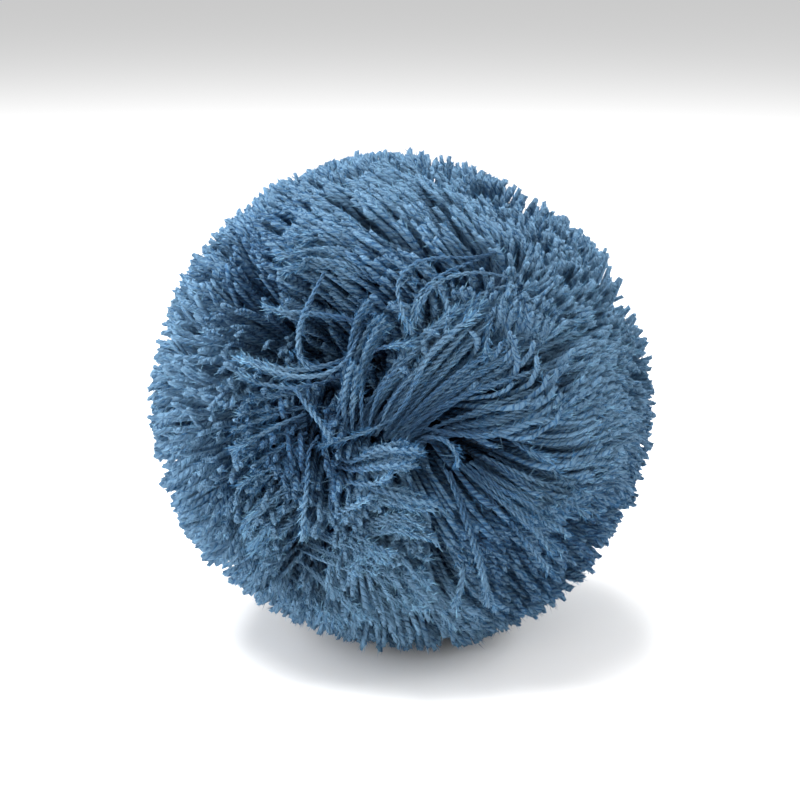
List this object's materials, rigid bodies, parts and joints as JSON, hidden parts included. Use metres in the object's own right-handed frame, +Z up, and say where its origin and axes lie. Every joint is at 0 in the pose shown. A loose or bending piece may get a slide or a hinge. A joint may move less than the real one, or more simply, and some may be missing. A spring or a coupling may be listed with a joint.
{
  "type": "yarn pom pom",
  "caption": "Ball-shaped pom pom of cut yarn, combed over and parted at the front, standing on a small flat spot.",
  "frame": {"origin": "on the floor, at the middle of the flat spot that the ball rests on, straight under the ball's middle", "axes": "+Z up, the front with the deepest parting faces -Y, and +X is to the right as seen from the front"},
  "size_m": [0.0979, 0.0984, 0.097],
  "materials": {
    "yarn": "matt, two-ply twisted yarn with a soft fuzz"
  },
  "bodies": {
    "root": {"pom_pom": "yarn"}
  },
  "joints": []
}
